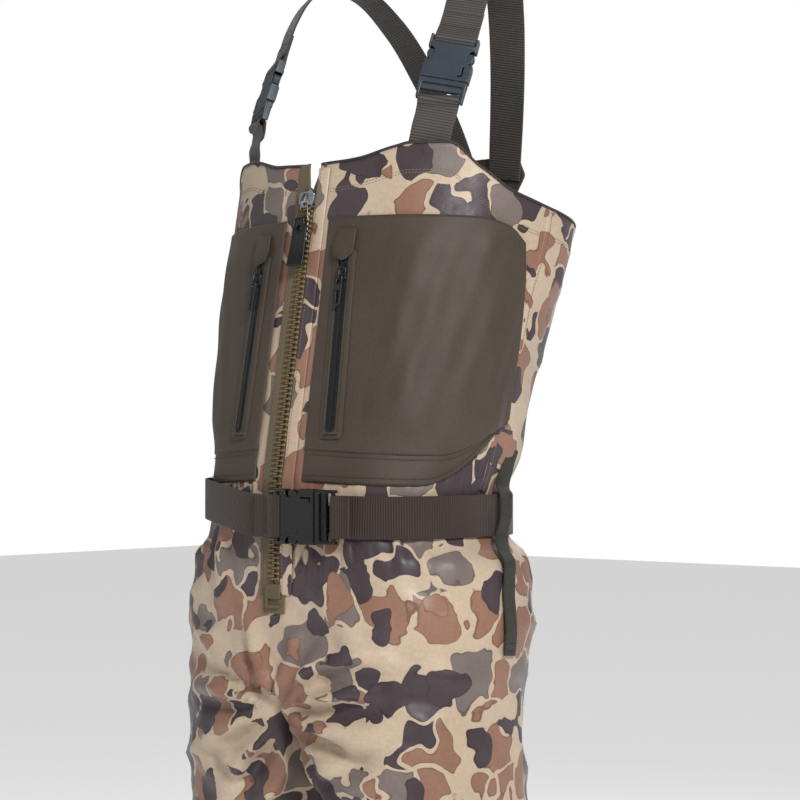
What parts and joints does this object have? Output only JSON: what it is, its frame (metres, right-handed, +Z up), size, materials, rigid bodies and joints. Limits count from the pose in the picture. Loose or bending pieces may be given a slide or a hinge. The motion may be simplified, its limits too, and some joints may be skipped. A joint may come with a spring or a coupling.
{
  "type": "chest waders",
  "caption": "Bootfoot chest waders in camouflage cloth with a front zip, chest pockets, a waist belt and buckled shoulder straps.",
  "frame": {"origin": "on the floor under the middle of the waders' bounding box, at the level of the soles", "axes": "+Z up, -Y the wearer's front, +X the wearer's left"},
  "size_m": [0.382, 0.4071, 1.5377],
  "materials": {
    "camo_cloth": "matte coated cloth, printed",
    "boot_rubber": "matte",
    "outsole_rubber": "matte",
    "insole_felt": "felt",
    "zip_tape": "semi-matte coated tape",
    "zip_teeth": "satin",
    "slider_metal": "dark nickel",
    "link_brass": "antique",
    "tab_rubber": "satin",
    "rivet_black": "gloss",
    "pocket_cloth": "matte coated cloth",
    "pocket_zip_black": "matte coil zip",
    "pocket_slider_black": "satin",
    "strap_webbing": "ribbed webbing",
    "strap_buckle": "satin moulded",
    "belt_webbing": "ribbed webbing",
    "belt_buckle": "satin moulded",
    "loop_webbing": "ribbed webbing"
  },
  "bodies": {
    "garment": {"bib_front_left": "camo_cloth", "bib_front_right": "camo_cloth", "bib_back": "camo_cloth", "hip_section": "camo_cloth", "left_leg": "camo_cloth", "right_leg": "camo_cloth", "left_boot_upper": "boot_rubber", "right_boot_upper": "boot_rubber", "left_boot_outsole": "outsole_rubber", "right_boot_outsole": "outsole_rubber", "boot_insoles": "insole_felt", "boot_collars": "boot_rubber", "zip_tape_left": "zip_tape", "zip_tape_right": "zip_tape", "zip_teeth_left": "zip_teeth", "zip_teeth_right": "zip_teeth", "zip_docking_end": "zip_teeth", "left_pocket_panel": "pocket_cloth", "right_pocket_panel": "pocket_cloth", "left_pocket_band": "pocket_cloth", "right_pocket_band": "pocket_cloth", "pocket_zip_tapes": "pocket_zip_black", "pocket_zip_garages": "pocket_cloth", "left_lower_webbing": "strap_webbing", "right_lower_webbing": "strap_webbing", "left_shoulder_strap": "strap_webbing", "right_shoulder_strap": "strap_webbing", "left_strap_female": "strap_buckle", "right_strap_female": "strap_buckle", "back_patch": "strap_webbing", "back_webbing": "strap_webbing", "waist_belt": "belt_webbing", "belt_buckle_female": "belt_buckle", "belt_loops": "loop_webbing"},
    "zip_slider": {"zip_slider": "slider_metal"},
    "zip_link": {"zip_pull_link": "link_brass"},
    "zip_tab": {"zip_pull_tab": "tab_rubber", "zip_pull_rivet": "rivet_black"},
    "left_pocket_slider": {"left_pocket_slider": "pocket_slider_black"},
    "right_pocket_slider": {"right_pocket_slider": "pocket_slider_black"},
    "left_pocket_pull": {"left_pocket_pull": "pocket_slider_black"},
    "right_pocket_pull": {"right_pocket_pull": "pocket_slider_black"},
    "left_strap_male": {"left_strap_male": "strap_buckle"},
    "right_strap_male": {"right_strap_male": "strap_buckle"},
    "left_latch_a": {"left_strap_latch_a": "strap_buckle"},
    "left_latch_b": {"left_strap_latch_b": "strap_buckle"},
    "right_latch_a": {"right_strap_latch_a": "strap_buckle"},
    "right_latch_b": {"right_strap_latch_b": "strap_buckle"},
    "belt_male": {"belt_buckle_male": "belt_buckle"},
    "belt_latch_upper": {"belt_latch_upper": "belt_buckle"},
    "belt_latch_lower": {"belt_latch_lower": "belt_buckle"}
  },
  "joints": [
    {"name": "zip_slide", "type": "slide", "parent": "garment", "child": "zip_slider", "axis": [0, -0.1686, -0.9857], "range_m": [0, 0.2]},
    {"name": "zip_link_swing", "type": "hinge", "parent": "zip_slider", "child": "zip_link", "pos_m": [0, -0.08887, 1.27977], "axis": [-1, 0, 0], "range_deg": [0, 110]},
    {"name": "zip_tab_swing", "type": "hinge", "parent": "zip_link", "child": "zip_tab", "pos_m": [0, -0.09157, 1.264], "axis": [-1, 0, 0], "range_deg": [0, 90]},
    {"name": "left_pocket_slide", "type": "slide", "parent": "garment", "child": "left_pocket_slider", "axis": [0.0329, -0.1585, -0.9868], "range_m": [0, 0.135]},
    {"name": "left_pocket_pull_swing", "type": "hinge", "parent": "left_pocket_slider", "child": "left_pocket_pull", "pos_m": [0.05587, -0.09869, 1.20783], "axis": [-0.9838, -0.179, -0.0041], "range_deg": [0, 110]},
    {"name": "right_pocket_slide", "type": "slide", "parent": "garment", "child": "right_pocket_slider", "axis": [-0.0329, -0.1585, -0.9868], "range_m": [0, 0.135]},
    {"name": "right_pocket_pull_swing", "type": "hinge", "parent": "right_pocket_slider", "child": "right_pocket_pull", "pos_m": [-0.05587, -0.09869, 1.20783], "axis": [-0.9838, 0.179, 0.0041], "range_deg": [0, 110]},
    {"name": "left_strap_unclip", "type": "slide", "parent": "garment", "child": "left_strap_male", "axis": [0, -0.3907, -0.9205], "range_m": [0, 0.03]},
    {"name": "left_latch_a_press", "type": "hinge", "parent": "left_strap_male", "child": "left_latch_a", "pos_m": [0.13412, -0.01296, 1.39054], "axis": [0.5028, -0.7957, 0.3377], "range_deg": [0, 12], "stiffness_Nm_per_rad": 0.12},
    {"name": "left_latch_b_press", "type": "hinge", "parent": "left_strap_male", "child": "left_latch_b", "pos_m": [0.10542, -0.02832, 1.39707], "axis": [-0.5028, 0.7957, -0.3377], "range_deg": [0, 12], "stiffness_Nm_per_rad": 0.12},
    {"name": "right_strap_unclip", "type": "slide", "parent": "garment", "child": "right_strap_male", "axis": [0, -0.3907, -0.9205], "range_m": [0, 0.03]},
    {"name": "right_latch_a_press", "type": "hinge", "parent": "right_strap_male", "child": "right_latch_a", "pos_m": [-0.13412, -0.01296, 1.39054], "axis": [0.5028, 0.7957, -0.3377], "range_deg": [0, 12], "stiffness_Nm_per_rad": 0.12},
    {"name": "right_latch_b_press", "type": "hinge", "parent": "right_strap_male", "child": "right_latch_b", "pos_m": [-0.10542, -0.02832, 1.39707], "axis": [-0.5028, -0.7957, 0.3377], "range_deg": [0, 12], "stiffness_Nm_per_rad": 0.12},
    {"name": "belt_unclip", "type": "slide", "parent": "garment", "child": "belt_male", "axis": [0.9945, 0.1045, 0], "range_m": [0, 0.035]},
    {"name": "belt_latch_upper_press", "type": "hinge", "parent": "belt_male", "child": "belt_latch_upper", "pos_m": [0.06151, -0.13436, 0.9986], "axis": [0.1045, -0.9945, 0], "range_deg": [0, 12], "stiffness_Nm_per_rad": 0.12},
    {"name": "belt_latch_lower_press", "type": "hinge", "parent": "belt_male", "child": "belt_latch_lower", "pos_m": [0.06151, -0.13436, 0.9614], "axis": [-0.1045, 0.9945, 0], "range_deg": [0, 12], "stiffness_Nm_per_rad": 0.12}
  ]
}
